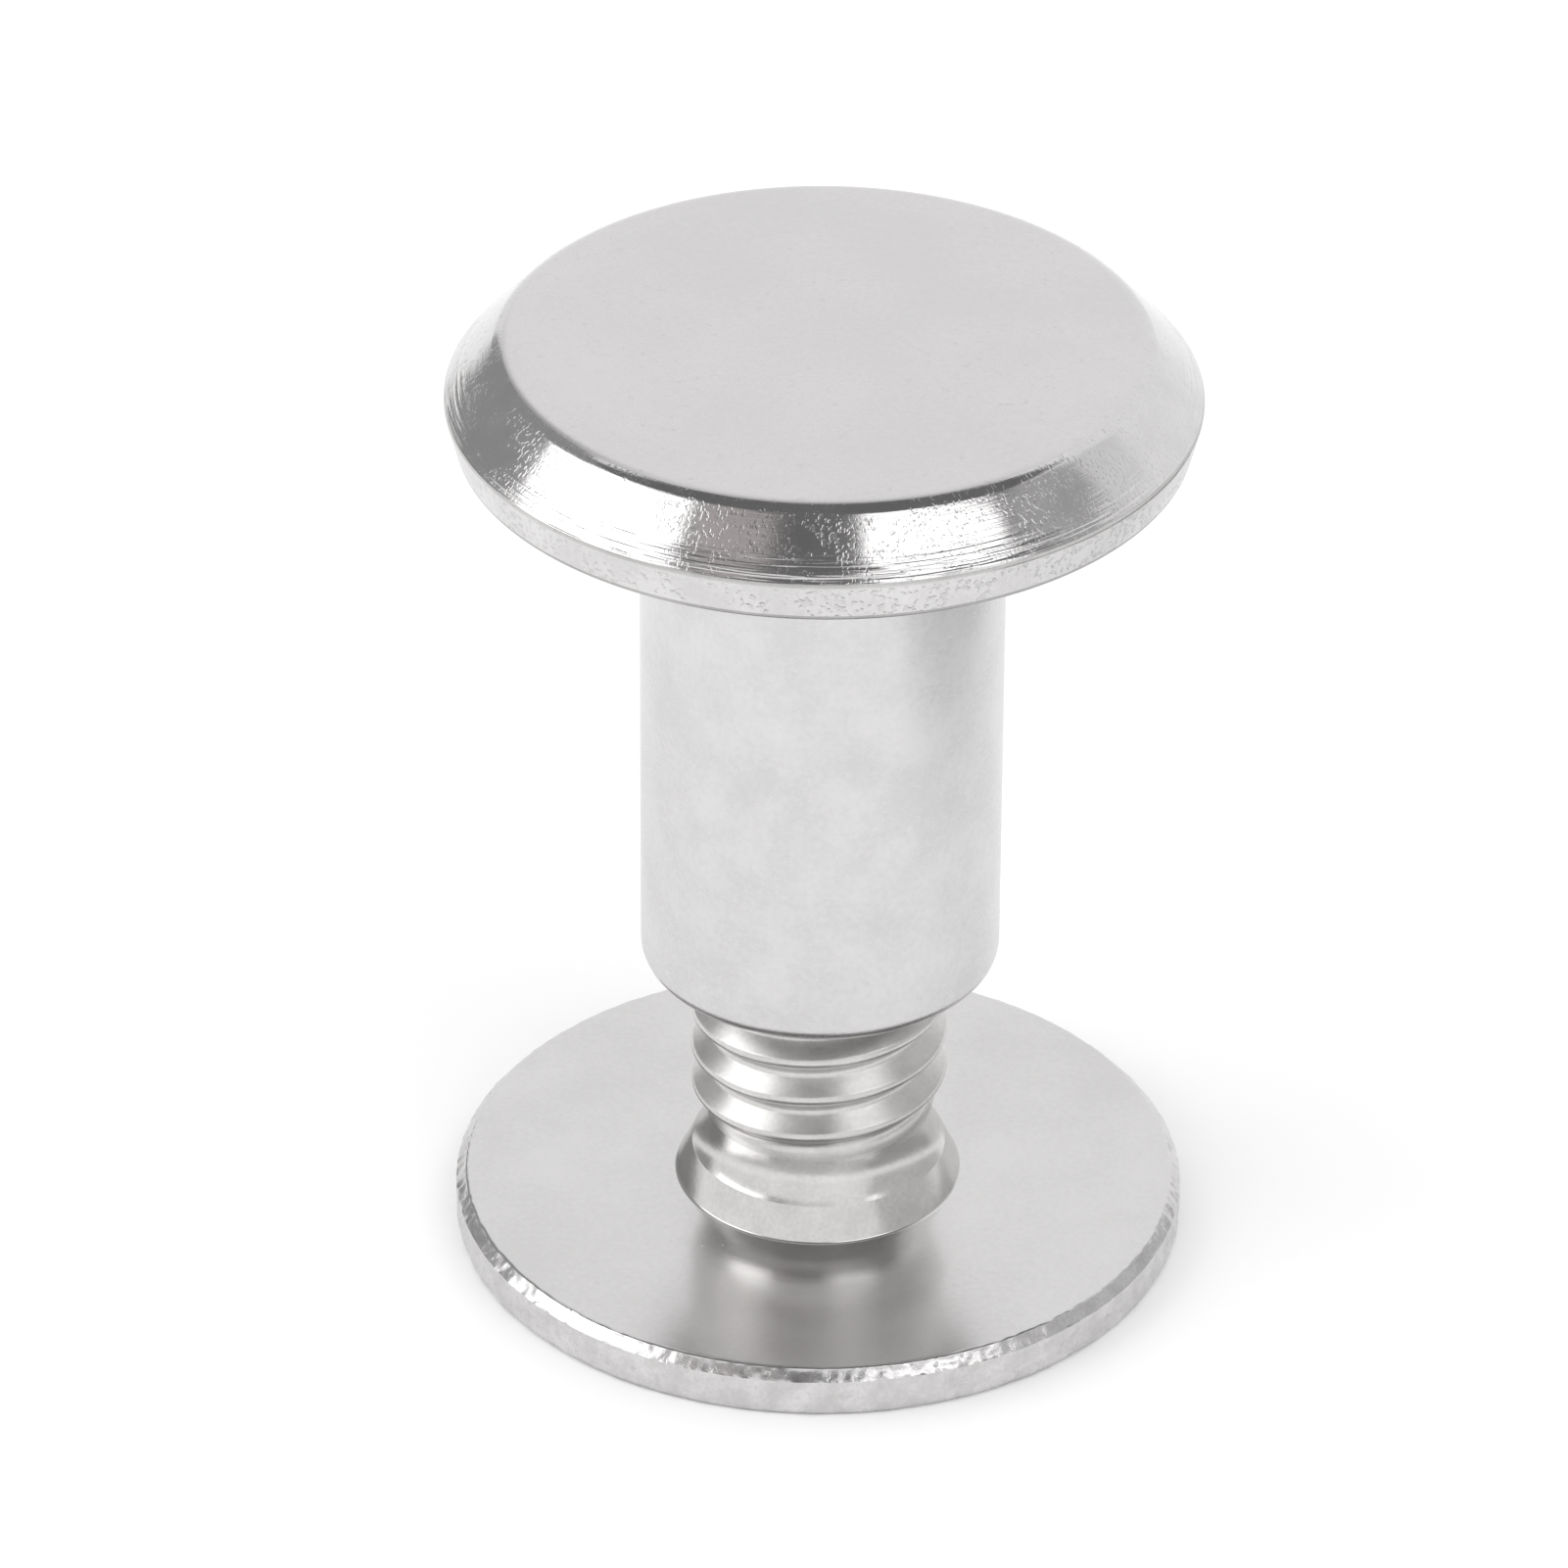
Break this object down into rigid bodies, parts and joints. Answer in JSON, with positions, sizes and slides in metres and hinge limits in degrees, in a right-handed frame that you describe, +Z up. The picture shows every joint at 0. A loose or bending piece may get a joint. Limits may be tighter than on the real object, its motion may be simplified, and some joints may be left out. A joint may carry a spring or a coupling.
{
  "type": "screw rivet stud",
  "caption": "Binding screw stud: a slotted flat-headed screw threaded into a bevel-headed barrel post, which clamps punched sheets between their heads.",
  "frame": {"origin": "centre of the screw head's outer face, on which the stud stands", "axes": "+Z up the common axis, from the screw's head to the post's head; X along the driver slot"},
  "size_m": [0.01, 0.01, 0.0137],
  "materials": {
    "screw_metal": "satin",
    "post_metal": "gloss"
  },
  "bodies": {
    "screw": {"slotted_screw": "screw_metal"},
    "post": {"threaded_post": "post_metal"}
  },
  "joints": [
    {"name": "post_travel", "type": "slide", "parent": "screw", "child": "post", "axis": [0, 0, 1], "range_m": [-0.00348, 0.00262]}
  ]
}
